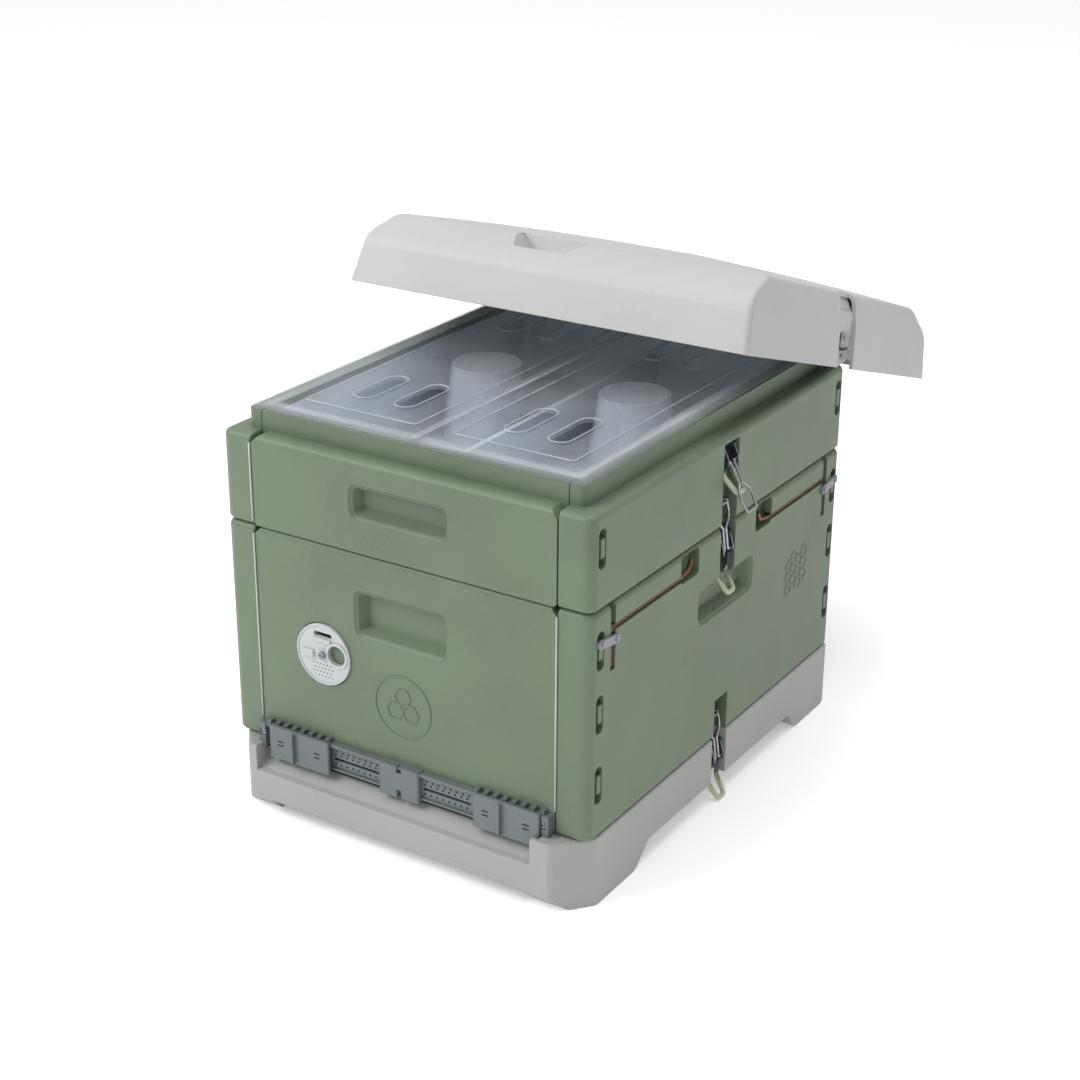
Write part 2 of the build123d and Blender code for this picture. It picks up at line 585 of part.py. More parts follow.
def latch_lever(joint, reach):
    """Lever of two straps joined by a bent looped grip."""
    z = joint + PIVOT_W
    elbow = z - reach + 20
    tip_u = PIVOT_U + 12
    tip_z = z - reach
    bail_u = PIVOT_U + CRANK_U
    bail_z = z + CRANK_W
    straps = []
    for side in (-1, 1):
        y0, y1 = sorted((side * 9.3, side * 11.3))
        strap = prism_xz([(PIVOT_U - 3.6, z + 2.5), (PIVOT_U - 1.5, z + 3.8), (PIVOT_U + 2, z + 3.8),
                          (PIVOT_U + 4, z + 1.5), (bail_u + 3.2, bail_z + 2.5), (bail_u + 3.2, bail_z - 2),
                          (PIVOT_U + 3.0, bail_z - 7), (PIVOT_U + 2.5, elbow), (PIVOT_U - 2.5, elbow),
                          (PIVOT_U - 3.2, z - 6)], y0, y1)
        straps.append(strap)
    corners = [(PIVOT_U, -10.3, elbow + 3), (PIVOT_U, -10.3, elbow - 2), (tip_u, -6.8, tip_z),
               (tip_u, 6.8, tip_z), (PIVOT_U, 10.3, elbow - 2), (PIVOT_U, 10.3, elbow + 3)]
    grip = sweep(Plane(corners[0], z_dir=(0, 0, -1)) * Circle(2.2), path=FilletPolyline(*corners, radius=3.0))
    lever = straps[0] + straps[1] + grip
    lever -= rod((PIVOT_U, -20, z), (PIVOT_U, 20, z), PIN_R + 0.05)
    lever -= rod((bail_u, -20, bail_z), (bail_u, 20, bail_z), WIRE_R + 0.05)
    return lever


def latch_bail(joint, lever_turn, lean):
    """Wire bail: two feet in the lever, a narrow neck and a five-sided ring with its bar on top."""
    half = [(11.2, 0.0), (3.6, 0.0), (3.2, 24.0), (11.0, 33.0), (12.0, 40.0), (9.5, BAIL_LEN)]
    outline = [(-v, s) for v, s in half] + [(v, s) for v, s in reversed(half)]
    path = FilletPolyline([(0, v, s) for v, s in outline], radius=2.2)
    wire = sweep(Plane((0, -11.2, 0), z_dir=(0, 1, 0)) * Circle(WIRE_R), path=path)
    foot = turned(Pos(PIVOT_U + CRANK_U, 0, joint + PIVOT_W + CRANK_W), joint, lever_turn)
    at = foot.position
    return Pos(at.X, at.Y, at.Z) * Rot(0, lean, 0) * wire


def catch(joint, lip):
    """Catch plate above a joint: a tongue sloping up and out, which the bail's bar hooks onto."""
    plate = block(RECESS_FLOOR, RECESS_FLOOR + 2, -10, 10, joint + 9, joint + 38)
    plate = fillet(plate.edges().filter_by(Axis.X), 3.0)
    under_bar = joint + BAR_W - (WIRE_R + 0.15) * math.hypot(1, CATCH_SLOPE)
    root = under_bar - (BAR_U - RECESS_FLOOR) * CATCH_SLOPE
    tip = under_bar + lip * CATCH_SLOPE
    outline = [(RECESS_FLOOR, root - 3), (BAR_U + lip, tip - 2.5), (BAR_U + lip, tip), (RECESS_FLOOR, root)]
    plate += prism_xz(outline, -6, 6)
    for z in (joint + 13.0, joint + 33.5):
        plate += Pos(RECESS_FLOOR + 2, 0, z) * Rot(0, 90, 0) * Cone(3.0, 2.0, 2.4)
    return plate


# ============================================================================================
# Frames
# ============================================================================================
def hive_frame(x):
    """Wooden frame: top bar with narrow lugs, two end bars and a bottom bar."""
    wide, long, thick = TOP_BAR
    top = REST_Z + 0.3 + thick
    low = top - FRAME_DEEP
    bar = block(x - wide / 2, x + wide / 2, -FRAME_LEN / 2, FRAME_LEN / 2, top - thick, top)
    bar += block(x - wide / 2, x + wide / 2, -long / 2, long / 2, top - thick, top)
    ends = []
    for side in (-1, 1):
        y0, y1 = sorted((side * FRAME_LEN / 2, side * (FRAME_LEN / 2 - END_BAR_T)))
        outline = [(x - 13.5, top - 1), (x + 13.5, top - 1), (x + 17, top - 30), (x + 17, top - 95),
                   (x + 13, top - 110), (x + 13, low), (x - 13, low), (x - 13, top - 110),
                   (x - 17, top - 95), (x - 17, top - 30)]
        ends.append(prism_xz(outline, y0, y1))
    bar += ends[0] + ends[1]
    bar += block(x - 9, x + 9, -FRAME_LEN / 2, FRAME_LEN / 2, low, low + 10)
    return bar


def foundation(x):
    """Sheet of comb foundation held inside one frame."""
    top = REST_Z + 0.3
    low = top + TOP_BAR[2] - FRAME_DEEP + 10
    half = FRAME_LEN / 2 - END_BAR_T
    return block(x - 2.5, x + 2.5, -half, half, low, top)


# ============================================================================================
# Feeder and inner cover
# ============================================================================================
def feeder_tray():
    """Syrup tray hanging inside the top box, with a bee chimney under each cup."""
    low = SEAM_2 + RISER_H + 3
    high = RIM - 6
    half_x = IN_W - 2
    half_y = IN_L - 2
    tray = block(-half_x, half_x, -half_y, half_y, low, high)
    tray = fillet(tray.edges().filter_by(Axis.Z), 12.0)
    hollow = block(-half_x + 3, half_x - 3, -half_y + 3, half_y - 3, low + 3, high + 1)
    tray -= fillet(hollow.edges().filter_by(Axis.Z), 9.0)
    for x in (-CUP_X, CUP_X):
        tray += Pos(x, CUP_Y, low) * extrude(Circle(16), amount=58)
        tray -= Pos(x, CUP_Y, low - 1) * extrude(Circle(13), amount=60)
    tray += block(-3, 3, -half_y + 2, half_y - 2, low, high - 30)
    return tray


def feeder_cup(x):
    """Clear cone that stands over a chimney, open below."""
    low = SEAM_2 + RISER_H + 6.3
    high = RIM - 8.0
    tall = high - low
    outer = Pos(x, CUP_Y, low + tall / 2) * Cone(50, 38, tall)
    inner = Pos(x, CUP_Y, low + tall / 2 - 2.5) * Cone(47.5, 35.5, tall)
    cup = outer - inner
    for turn in range(4):
        cup -= Pos(x, CUP_Y, low) * Rot(0, 0, 45 + 90 * turn) * Pos(48, 0, 0) * Box(10, 14, 6)
    return cup


def inner_cover():
    """Clear cover sheet with two raised panels, a middle ridge and eight oval air slots."""
    half_x = HALF_W - RISER_IN - 1.5
    half_y = HALF_L - RISER_IN - 1.5
    sheet = block(-half_x, half_x, -half_y, half_y, RIM + 0.3, RIM + 0.3 + COVER_T)
    sheet = fillet(sheet.edges().filter_by(Axis.Z), 7.0)
    top = RIM + 0.3 + COVER_T
    for side in (-1, 1):
        x0, x1 = sorted((side * 21, side * 162))
        edge = block(x0, x1, -209, 209, top - 0.5, top + 1.4)
        edge = fillet(edge.edges().filter_by(Axis.Z), 5.0)
        inner = fillet(block(x0 + 3, x1 - 3, -206, 206, top - 1, top + 2).edges().filter_by(Axis.Z), 3.0)
        sheet += edge - inner
    ridge = [(-9, top - 0.5), (-5, top + 2.6), (5, top + 2.6), (9, top - 0.5)]
    sheet += prism_xz(ridge, -half_y + 4, half_y - 4)
    for y in SLOT_ROWS:
        for x in SLOT_COLUMNS:
            place = Pos(x, y, top - 0.5) * Rot(0, 0, 90)
            sheet += place * extrude(SlotOverall(SLOT_LEN, SLOT_W), amount=2.3)
            sheet -= place * extrude(SlotOverall(SLOT_LEN - 5, SLOT_W - 5), amount=8, both=True)
    return sheet


# ============================================================================================
# Roof
# ============================================================================================
def roof_profile(half, shoulder_in, inset, floor):
    """Half-round outline of the roof in one direction: leaning wall, curved slope and low crown."""
    wall = half - inset
    lean = ROOF_DRAFT * floor / ROOF_WALL
    shoulder = ROOF_SHOULDER - inset
    crown = ROOF_CROWN - inset
    foot = (wall - lean, floor)
    eave = (wall - ROOF_DRAFT, ROOF_WALL)
    turn = (wall - shoulder_in * 0.42 - 2.5, ROOF_WALL + (shoulder - ROOF_WALL) * 0.62)
    top = (wall - shoulder_in, shoulder)
    return foot, eave, turn, top, crown


def roof_outline(half, shoulder_in, inset, floor):
    foot, eave, turn, top, crown = roof_profile(half, shoulder_in, inset, floor)
    points = (eave, turn, top)
    right = Line(foot, eave) + Spline(*points, tangents=((-ROOF_DRAFT, ROOF_WALL), (-6, 1.4)))
    right += ThreePointArc(top, (0, crown), (-top[0], top[1]))
    foot, eave, turn, top = ((-x, z) for x, z in (foot, eave, turn, top))
    left = Line(foot, eave) + Spline(eave, turn, top, tangents=((ROOF_DRAFT, ROOF_WALL), (6, 1.4)))
    return make_face(right + left + Line(foot, (-foot[0], foot[1])))


def roof_solid(inset, floor):
    """Domed roof block, drawn in by a wall thickness, from a given height upwards."""
    across = Plane((0, ROOF_L, 0), x_dir=(1, 0, 0), z_dir=(0, -1, 0)) * roof_outline(
        ROOF_W / 2, ROOF_SIDE_IN, inset, floor)
    along = Plane((-ROOF_W, 0, 0), x_dir=(0, 1, 0), z_dir=(1, 0, 0)) * roof_outline(
        ROOF_L / 2, ROOF_END_IN, inset, floor)
    return extrude(across, amount=2 * ROOF_L) & extrude(along, amount=2 * ROOF_W)


def roof_shell():
    outer = roof_solid(0, 0)
    corners = outer.edges().filter_by(lambda e: abs(e.center().X) > 200 and 2 < e.center().Z < ROOF_WALL)
    outer = fillet(corners.filter_by(lambda e: abs(e.center().Y) > 200 and e.length > 30), 6.0)
    channel_x = ROOF_W / 2 - ROOF_CHANNEL
    channels = []
    linings = []
    for side in (-1, 1):
        cut = [(side * channel_x, -1), (side * (channel_x - 1), 55), (side * (channel_x - 22), 100),
               (side * (ROOF_W / 2 + 5), 100), (side * (ROOF_W / 2 + 5), -1)]
        channels.append(prism_xz(cut, -CHANNEL_HALF, CHANNEL_HALF))
        lining_x = channel_x - ROOF_SKIN
        lining = [(side * lining_x, 0), (side * (lining_x - 1), 55), (side * (lining_x - 20), ROOF_CROWN),
                  (side * (ROOF_W / 2 - 3), ROOF_WALL), (side * (ROOF_W / 2 - 2), 0)]
        linings.append(prism_xz(lining, -CHANNEL_HALF - 4, CHANNEL_HALF + 4))
    hollow = roof_solid(ROOF_SKIN, -5)
    for lining in linings:
        hollow -= lining
    shell = outer - hollow
    for channel in channels:
        shell -= channel
    start, end = (-ROOF_L / 2 + reach for reach in GRIP_IN)
    grip = [(start, GRIP_Z), (end, GRIP_Z), (end + 5, 110), (start, 110)]
    backing = [(start - 10, GRIP_Z - ROOF_SKIN), (end + ROOF_SKIN, GRIP_Z - ROOF_SKIN),
               (end + ROOF_SKIN + 5, 110), (start - 10, 110)]
    grip_side = GRIP_HALF + ROOF_SKIN
    shell += prism_yz(backing, GRIP_X - grip_side, GRIP_X + grip_side) & roof_solid(1, 0)
    slopes = [(GRIP_X - GRIP_FLOOR, GRIP_Z - 1), (GRIP_X + GRIP_FLOOR, GRIP_Z - 1),
              (GRIP_X + grip_side, ROOF_SHOULDER), (GRIP_X + grip_side, 110),
              (GRIP_X - grip_side, 110), (GRIP_X - grip_side, ROOF_SHOULDER)]
    cut = prism_yz(grip, GRIP_X - grip_side, GRIP_X + grip_side) & prism_xz(slopes, -ROOF_L, 0)
    shell -= cut
    clear = prism_yz([(-4, -1), (60, -1), (60, 22)], -HALF_W - 13, HALF_W + 13)
    return shell - clear


def roof_liner():
    """Foam lining: a deep rim all round and a flat ceiling."""
    lining = roof_solid(ROOF_SKIN + 0.2, ROOF_SKIRT) & block(-400, 400, -400, 400, 0, ROOF_CEILING + 5)
    for side in (-1, 1):
        x0, x1 = sorted((side * (ROOF_W / 2 - ROOF_CHANNEL - ROOF_SKIN - 1.5), side * ROOF_W))
        lining -= block(x0, x1, -CHANNEL_HALF - 5, CHANNEL_HALF + 5, -1, 60)
    return lining - block(-LINER_W / 2, LINER_W / 2, -LINER_L / 2, LINER_L / 2, -1, ROOF_CEILING)


def roof_catch():
    """Catch in the channel on a long side, the same plate as on the boxes."""
    shift = ROOF_W / 2 - ROOF_CHANNEL - RECESS_FLOOR
    return Pos(shift, 0, 0) * catch(0, 4.5)


# ============================================================================================
# Assembly
# ============================================================================================
def both_sides(shape):
    return group([shape, mirrored(shape)])


def main():
    keep("base_board", base_board())
    keep("floor_screen", floor_screen())
    keep("base_latch_plates", both_sides(latch_plate(SEAM_1, -47, -5)))
    keep("base_latch_pins", both_sides(latch_pins(SEAM_1)))

    keep("brood_front_panel", brood_front())
    keep("brood_back_panel", brood_back())
    keep("brood_right_panel", brood_side_with_cells())
    keep("brood_left_panel", mirrored(brood_side()))
    keep("frame_rests", frame_rests())
    keep("brood_catches", both_sides(catch(SEAM_1, 4.5)))
    keep("brood_latch_plates", both_sides(latch_plate(SEAM_2, -47, -5)))
    keep("brood_latch_pins", both_sides(latch_pins(SEAM_2)))

    keep("entrance_rail", entrance_rail())
    keep("entrance_gate_left", entrance_gate(GATE_LEFT_X))
    keep("entrance_gate_right", entrance_gate(GATE_RIGHT_X))
    face = -HALF_L
    keep("rail_screws", group([screw(x, 89, face + 9, face - 6, 1.8, 3.6)
                               for x in (RAIL_LEFT + 5, RAIL_RIGHT - 7)]))
    keep("entrance_disc", entrance_disc())
    keep("disc_screw", screw(DISC_X, DISC_Z, face + 10, face + DISC_SINK - DISC_T - 1.8, 2.0, 4.2))

    arm = frame_arm()
    keep("arm_front_right", arm)
    keep("arm_front_left", mirrored(arm))
    keep("arm_back_right", mirror(arm, about=Plane.XZ))
    keep("arm_back_left", mirrored(mirror(arm, about=Plane.XZ)))
    clip = arm_clip()
    back_clip = mirror(clip, about=Plane.XZ)
    keep("arm_clips", group([clip, mirrored(clip), back_clip, mirrored(back_clip)]))

    for number in range(FRAME_COUNT):
        x = (number - (FRAME_COUNT - 1) / 2) * FRAME_PITCH
        keep(f"frame_{number + 1:02d}", hive_frame(x))
    keep("foundations", group([foundation((n - (FRAME_COUNT - 1) / 2) * FRAME_PITCH)
                               for n in range(FRAME_COUNT)]))

    keep("top_front_panel", top_end())
    keep("top_back_panel", mirror(top_end(), about=Plane.XZ))
    keep("top_right_panel", top_side())
    keep("top_left_panel", mirrored(top_side()))
    keep("top_catches", both_sides(catch(SEAM_2, 4.5)))
    keep("top_latch_plates", both_sides(latch_plate(SHOULDER, -46, -8.5)))
    keep("top_latch_pins", both_sides(latch_pins(SHOULDER)))
    keep("feeder_tray", feeder_tray())
    keep("feeder_cups", group([feeder_cup(-CUP_X), feeder_cup(CUP_X)]))
    keep("inner_cover", inner_cover())

    keep("roof_shell", ROOF_PLACE * roof_shell())
    keep("roof_liner", ROOF_PLACE * roof_liner())
    keep("roof_catches", ROOF_PLACE * both_sides(roof_catch()))

    latches = (
        ("base", SEAM_1, REACH, 0, BAIL_LEAN),
        ("brood", SEAM_2, REACH, 0, BAIL_LEAN),
        ("top", SHOULDER, TOP_REACH, TOP_LEVER_TURN, OPEN_BAIL),
    )
    for name, joint, reach, turn, lean in latches:
        lever = turned(latch_lever(joint, reach), joint, turn)
        bail = latch_bail(joint, turn, lean)
        keep(f"{name}_lever_right", lever)
        keep(f"{name}_lever_left", mirrored(lever))
        keep(f"{name}_bail_right", bail)
        keep(f"{name}_bail_left", mirrored(bail))

    os.makedirs("parts", exist_ok=True)
    for name, shape in PARTS.items():
        export_step(shape, f"parts/{name}.step")
    print(len(PARTS), "nodes")


main()
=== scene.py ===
import bmesh
import bpy
import json
import math
from mathutils import Matrix, Vector


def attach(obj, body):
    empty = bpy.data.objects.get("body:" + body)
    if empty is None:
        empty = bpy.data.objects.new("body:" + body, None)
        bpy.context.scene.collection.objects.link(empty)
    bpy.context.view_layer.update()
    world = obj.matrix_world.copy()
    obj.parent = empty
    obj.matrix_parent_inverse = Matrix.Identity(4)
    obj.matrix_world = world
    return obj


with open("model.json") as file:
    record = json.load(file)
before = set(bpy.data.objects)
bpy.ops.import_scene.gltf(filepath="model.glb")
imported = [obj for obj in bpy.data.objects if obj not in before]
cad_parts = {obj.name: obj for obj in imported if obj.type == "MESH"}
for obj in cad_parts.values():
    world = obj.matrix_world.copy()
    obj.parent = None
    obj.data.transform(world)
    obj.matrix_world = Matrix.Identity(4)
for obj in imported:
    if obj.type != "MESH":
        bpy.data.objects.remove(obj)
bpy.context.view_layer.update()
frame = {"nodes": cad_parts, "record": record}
nodes = frame["nodes"]
MM = 0.001

# ---- places on the hive, millimetres -------------------------------------------------------------
JOINT_LINES = {"base": 77.0, "brood": 321.0, "top": 419.0}
PIVOT_OUT = 213.0          # a latch lever's pivot, from the middle of the hive
PIVOT_DROP = 16.0          # and below its joint line
GRIP_OUT = 12.0            # how far a grip's end stands out from the pivot
COVER_TOP = 441.8
SLOT_ROWS = (-135.0, 135.0)
SLOT_COLUMNS = (-117.5, -66.5, 66.5, 117.5)
CUP_X = 93.0
CUP_Y = 22.0
CUP_TOP = 430.6
POST_LINE = 182.6          # line between a front panel and a corner post
FRONT = -270.9
DOME_LENGTH = 0.6          # domed end of a tube, against the tube's radius
DOME_WIDTH = 0.55
SLEEVE_R = 2.75
SLEEVE_BEND = 4.0
SLEEVE_RISE = 18.0         # a sleeve's bend, above the grip's lower end
SLEEVE_HALF_WIDE = 10.3    # half a sleeve's width above its bend
SLEEVE_HALF_NARROW = 6.8   # and at the grip's lower end
STRIP_WIDTH = 1.7
STRIP_DEPTH = 0.9
LINE_R = 0.8               # moulded lines on the cover
PANEL_INNER = 22.5         # a cover panel's long edges, from the middle of the hive
PANEL_OUTER = 160.5
PANEL_HALF_LENGTH = 207.5
CUP_HIGHLIGHT_TURN = 37.2        # radius of the painted highlight ring round a cup's top edge
CUP_HIGHLIGHT_R = 0.9

# ---- colours, linear -----------------------------------------------------------------------------
SAGE = (0.122, 0.164, 0.107)
ROOF_GREY = (0.40, 0.40, 0.395)
BASE_GREY = (0.315, 0.315, 0.307)
RAIL_GREY = (0.125, 0.146, 0.152)
DISC_GREY = (0.43, 0.45, 0.45)
CLIP_GREY = (0.22, 0.22, 0.25)
# pale strip colour: painted highlight of a lit chamfer edge, partly pale edge wear
HIGHLIGHT_AND_WEAR_GREY = (0.42, 0.44, 0.42)
VINYL_GREEN = (0.42, 0.47, 0.32)
FROSTED = (0.62, 0.68, 0.74)
RUST_STEEL = (0.17, 0.085, 0.06)
WIRE = (0.34, 0.35, 0.36)
FOAM = (0.42, 0.43, 0.43)
PINE = (0.60, 0.40, 0.21)
PINE_DARK = (0.42, 0.24, 0.10)
WAX = (0.62, 0.40, 0.10)
ZINC = (0.20, 0.225, 0.235)
SCREEN_DARK = (0.16, 0.17, 0.17)
SCREEN_PALE = (0.24, 0.25, 0.25)
CUP_TINT = (0.66, 0.71, 0.78)
# whitish tint of the moulded lines on the cover and of the painted highlight rings on the cup tops
LINE_AND_HIGHLIGHT_TINT = (0.60, 0.64, 0.67)
HAZE_TINT = (0.62, 0.67, 0.70)

FINE_LINES = (900.0, 60.0, 900.0)      # noise scale along X, Y and Z
EVEN_SCRATCH = (300.0, 300.0, 300.0)
FLOOR_GLOW = 0.26                      # keeps the floor near white beside the hive


# ================================================================================================
# Materials
# ================================================================================================
class Graph:
    """A short way to wire one material's nodes together."""

    def __init__(self, name):
        self.material = bpy.data.materials.new(name)
        self.material.use_nodes = True
        self.tree = self.material.node_tree
        self.shader = self.tree.nodes["Principled BSDF"]
        self.place = self.node("ShaderNodeTexCoord").outputs["Object"]

    def node(self, kind, **values):
        made = self.tree.nodes.new(kind)
        for key, value in values.items():
            setattr(made, key, value)
        return made

    def link(self, start, end):
        self.tree.links.new(start, end)

    def noise(self, scale, detail=3.0, roughness=0.5, place=None):
        made = self.node("ShaderNodeTexNoise")
        made.inputs["Scale"].default_value = scale
        made.inputs["Detail"].default_value = detail
        made.inputs["Roughness"].default_value = roughness
        self.link(place or self.place, made.inputs["Vector"])
        return made.outputs["Fac"]

    def stretched(self, scale):
        made = self.node("ShaderNodeMapping")
        made.inputs["Scale"].default_value = scale
        self.link(self.place, made.inputs["Vector"])
        return made.outputs["Vector"]

    def ramp(self, value, stops):
        made = self.node("ShaderNodeValToRGB")
        band = made.color_ramp
        while len(band.elements) < len(stops):
            band.elements.new(0.5)
        for element, (position, colour) in zip(band.elements, stops):
            element.position = position
            element.color = (*colour, 1.0)
        self.link(value, made.inputs["Fac"])
        return made.outputs["Color"]

    def span(self, value, low, high, start=0.0, end=1.0):
        """Maps one range of a value onto another."""
        made = self.node("ShaderNodeMapRange")
        made.inputs["From Min"].default_value = start
        made.inputs["From Max"].default_value = end
        made.inputs["To Min"].default_value = low
        made.inputs["To Max"].default_value = high
        self.link(value, made.inputs["Value"])
        return made.outputs["Result"]

    def mix(self, factor, first, second):
        made = self.node("ShaderNodeMix", data_type="RGBA")
        sockets = (made.inputs["Factor"], made.inputs[6], made.inputs[7])
        for socket, value in zip(sockets, (factor, first, second)):
            if isinstance(value, bpy.types.NodeSocket):
                self.link(value, socket)
            elif isinstance(value, tuple):
                socket.default_value = (*value, 1.0)
            else:
                socket.default_value = value
        return made.outputs[2]

    def math(self, operation, first, second):
        made = self.node("ShaderNodeMath", operation=operation)
        for socket, value in zip(made.inputs, (first, second)):
            if isinstance(value, bpy.types.NodeSocket):
                self.link(value, socket)
            else:
                socket.default_value = value
        return made.outputs[0]

    def soft_edges(self, radius):
        """A normal with the sharp edges rounded over."""
        made = self.node("ShaderNodeBevel", samples=4)
        made.inputs["Radius"].default_value = radius
        return made.outputs["Normal"]

    def bump(self, height, strength, distance, normal=None):
        made = self.node("ShaderNodeBump")
        made.inputs["Strength"].default_value = strength
        made.inputs["Distance"].default_value = distance
        self.link(height, made.inputs["Height"])
        if normal is not None:
            self.link(normal, made.inputs["Normal"])
        return made.outputs["Normal"]


def moulded(name, colour, tone, roughness, grain=900.0, relief=3.0, edge=0.0008):
    """Moulded plastic: fine spark-eroded grain, slow colour drift, scuffed and dusty patches."""
    g = Graph(name)
    deep = tuple(c * tone for c in colour)
    drift = g.noise(7.0, 4.0)
    base = g.ramp(drift, [(0.30, deep), (0.62, colour)])
    flecks = g.ramp(g.noise(260.0, 2.0, 0.7), [(0.40, (0.0, 0.0, 0.0)), (0.75, (1.0, 1.0, 1.0))])
    lighter = tuple(min(1.0, c * 1.10 + 0.01) for c in colour)
    g.link(g.mix(g.span(flecks, 0.0, 0.30), base, lighter), g.shader.inputs["Base Color"])
    scuffs = g.noise(22.0, 5.0, 0.65)
    g.link(g.span(scuffs, roughness - 0.07, roughness + 0.10), g.shader.inputs["Roughness"])
    grains = g.noise(grain, 2.0, 0.6)
    slow = g.noise(14.0, 2.0)
    height = g.math("ADD", grains, g.math("MULTIPLY", slow, relief))
    normal = g.bump(height, 0.55, 0.00006, g.soft_edges(edge))
    g.link(normal, g.shader.inputs["Normal"])
    g.shader.inputs["Specular IOR Level"].default_value = 0.42
    return g.material


def frosted(name, colour, alpha, roughness):
    """Clear moulded sheet, slightly milky, with flow marks."""
    g = Graph(name)
    g.link(g.ramp(g.noise(9.0, 4.0), [(0.3, tuple(c * 0.86 for c in colour)), (0.7, colour)]),
           g.shader.inputs["Base Color"])
    g.link(g.span(g.noise(30.0, 4.0), roughness - 0.06, roughness + 0.10), g.shader.inputs["Roughness"])
    g.link(g.span(g.noise(16.0, 5.0, 0.7), alpha - 0.07, alpha + 0.09), g.shader.inputs["Alpha"])
    g.link(g.bump(g.noise(55.0, 3.0), 0.25, 0.0003, g.soft_edges(0.0006)), g.shader.inputs["Normal"])
    g.shader.inputs["Specular IOR Level"].default_value = 0.6
    g.shader.inputs["Coat Weight"].default_value = 0.3
    g.shader.inputs["Coat Roughness"].default_value = 0.15
    g.material.blend_method = "BLEND"
    return g.material


def metal(name, colour, roughness, scratch=FINE_LINES, spangle=0.5):
    """Plated or coated steel: crystal spangle with duller patches and fine lines."""
    g = Graph(name)
    crystals = g.node("ShaderNodeTexVoronoi")
    crystals.inputs["Scale"].default_value = 420.0
    g.link(g.place, crystals.inputs["Vector"])
    dull = tuple(c * 0.62 for c in colour)
    patch = g.math("MULTIPLY", g.span(crystals.outputs["Distance"], 0.0, spangle), g.noise(60.0, 3.0))
    g.link(g.mix(patch, colour, dull), g.shader.inputs["Base Color"])
    g.shader.inputs["Metallic"].default_value = 1.0
    lines = g.noise(1.0, 2.0, 0.6, g.stretched(scratch))
    g.link(g.span(lines, roughness - 0.08, roughness + 0.14), g.shader.inputs["Roughness"])
    g.link(g.bump(lines, 0.3, 0.00005, g.soft_edges(0.0003)), g.shader.inputs["Normal"])
    return g.material


def pine():
    """Planed pine: grain lines along the bars and a few darker late-wood bands."""
    g = Graph("pine")
    rings = g.node("ShaderNodeTexWave", wave_type="BANDS", bands_direction="X")
    rings.inputs["Scale"].default_value = 60.0
    rings.inputs["Distortion"].default_value = 7.0
    rings.inputs["Detail"].default_value = 3.0
    g.link(g.stretched((1.0, 0.06, 1.0)), rings.inputs["Vector"])
    tones = [(0.15, PINE_DARK), (0.55, PINE)]
    g.link(g.ramp(rings.outputs["Fac"], tones), g.shader.inputs["Base Color"])
    fibres = g.noise(1.0, 3.0, 0.6, g.stretched((1500.0, 60.0, 1500.0)))
    g.link(g.span(fibres, 0.5, 0.75), g.shader.inputs["Roughness"])
    g.link(g.bump(fibres, 0.4, 0.0002, g.soft_edges(0.0006)), g.shader.inputs["Normal"])
    return g.material


def comb():
    """Wax foundation pressed with honeycomb cells, with painted shade on the deeper cell floors."""
    g = Graph("comb_foundation")
    cells = g.node("ShaderNodeTexVoronoi", feature="DISTANCE_TO_EDGE")
    cells.inputs["Scale"].default_value = 190.0
    cells.inputs["Randomness"].default_value = 0.12
    g.link(g.place, cells.inputs["Vector"])
    # painted shade: the wax darkens towards the middle of each cell, where the bump makes it deepest
    g.link(g.ramp(cells.outputs["Distance"], [(0.05, WAX), (0.30, tuple(c * 0.6 for c in WAX))]),
           g.shader.inputs["Base Color"])
    g.shader.inputs["Roughness"].default_value = 0.45
    depth = g.math("MULTIPLY", cells.outputs["Distance"], -1.0)
    g.link(g.bump(depth, 0.7, 0.002), g.shader.inputs["Normal"])
    return g.material


def foam():
    """Closed-cell foam lining with a beaded skin."""
    g = Graph("foam_lining")
    beads = g.node("ShaderNodeTexVoronoi")
    beads.inputs["Scale"].default_value = 260.0
    g.link(g.place, beads.inputs["Vector"])
    g.link(g.ramp(beads.outputs["Distance"], [(0.0, FOAM), (0.6, tuple(c * 0.75 for c in FOAM))]),
           g.shader.inputs["Base Color"])
    g.shader.inputs["Roughness"].default_value = 0.8
    normal = g.bump(beads.outputs["Distance"], 0.5, 0.0006, g.soft_edges(0.001))
    g.link(normal, g.shader.inputs["Normal"])
    return g.material


def screen_sheet():
    """Coated sheet steel with a faint even speckle."""
    g = Graph("screen_sheet")
    speckle = g.noise(700.0, 2.0)
    tones = [(0.35, SCREEN_DARK), (0.7, SCREEN_PALE)]
    g.link(g.ramp(speckle, tones), g.shader.inputs["Base Color"])
    g.shader.inputs["Metallic"].default_value = 0.4
    g.link(g.span(speckle, 0.4, 0.6), g.shader.inputs["Roughness"])
    g.link(g.bump(speckle, 0.4, 0.0001, g.soft_edges(0.0004)), g.shader.inputs["Normal"])
    return g.material


